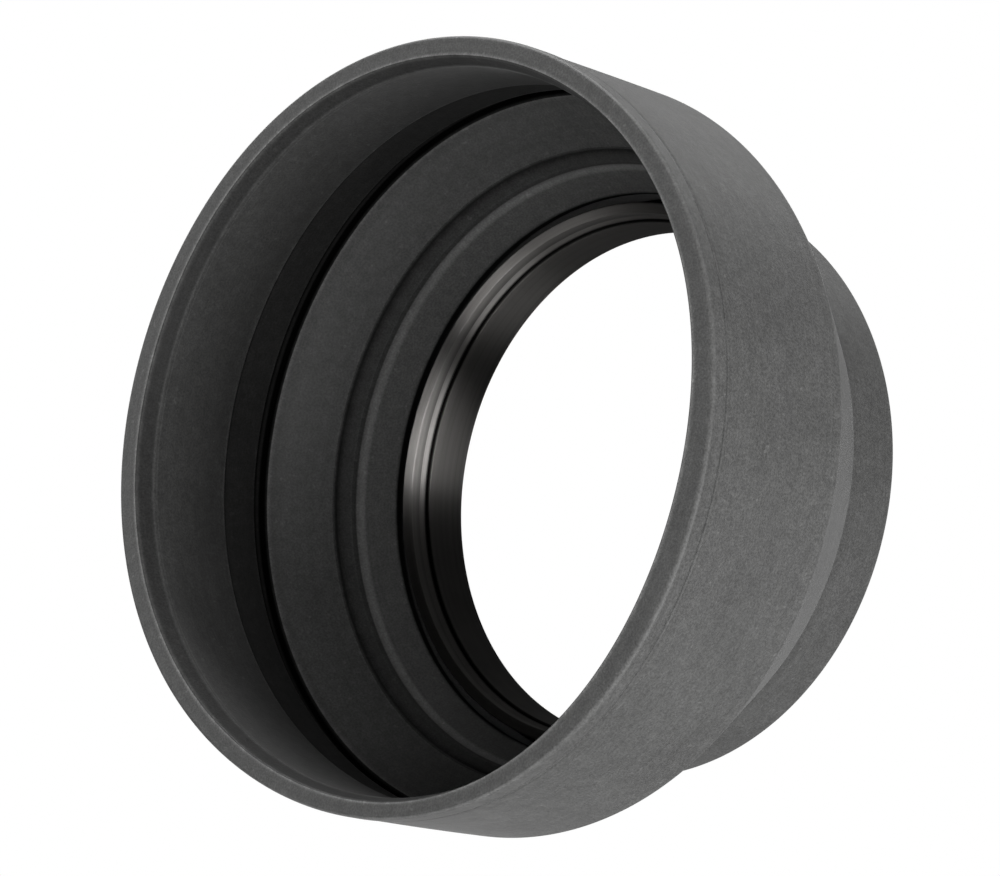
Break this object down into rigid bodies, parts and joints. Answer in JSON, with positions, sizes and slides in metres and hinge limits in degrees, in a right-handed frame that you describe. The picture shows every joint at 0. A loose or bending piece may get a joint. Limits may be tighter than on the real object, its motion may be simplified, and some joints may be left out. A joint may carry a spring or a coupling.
{
  "type": "lens hood",
  "caption": "Collapsible rubber lens hood: a wide barrel and a conical folding section on a black metal ring with a filter thread; it folds back in stages.",
  "frame": {"origin": "centre of the seat, the flat rear face of the mount ring's flange that stops against the lens", "axes": "+Z along the optical axis, from the lens out through the hood's mouth; X and Y across it"},
  "size_m": [0.077, 0.077, 0.041],
  "materials": {
    "grey_rubber": "matte moulded rubber with a fine grain",
    "black_anodised": "satin black anodised, turned"
  },
  "bodies": {
    "mount": {"mount_ring": "black_anodised", "retaining_ring": "black_anodised", "rear_collar": "grey_rubber", "rear_web": "grey_rubber"},
    "middle": {"middle_band": "grey_rubber", "front_web": "grey_rubber"},
    "front": {"barrel_root": "grey_rubber", "front_barrel": "grey_rubber", "front_lip": "grey_rubber"}
  },
  "joints": [
    {"name": "middle_slide", "type": "slide", "parent": "mount", "child": "middle", "axis": [0, 0, 1], "range_m": [-0.008, 0], "deforming": ["rear_web"]},
    {"name": "front_slide", "type": "slide", "parent": "middle", "child": "front", "axis": [0, 0, 1], "range_m": [-0.014, 0], "deforming": ["front_web"]}
  ]
}
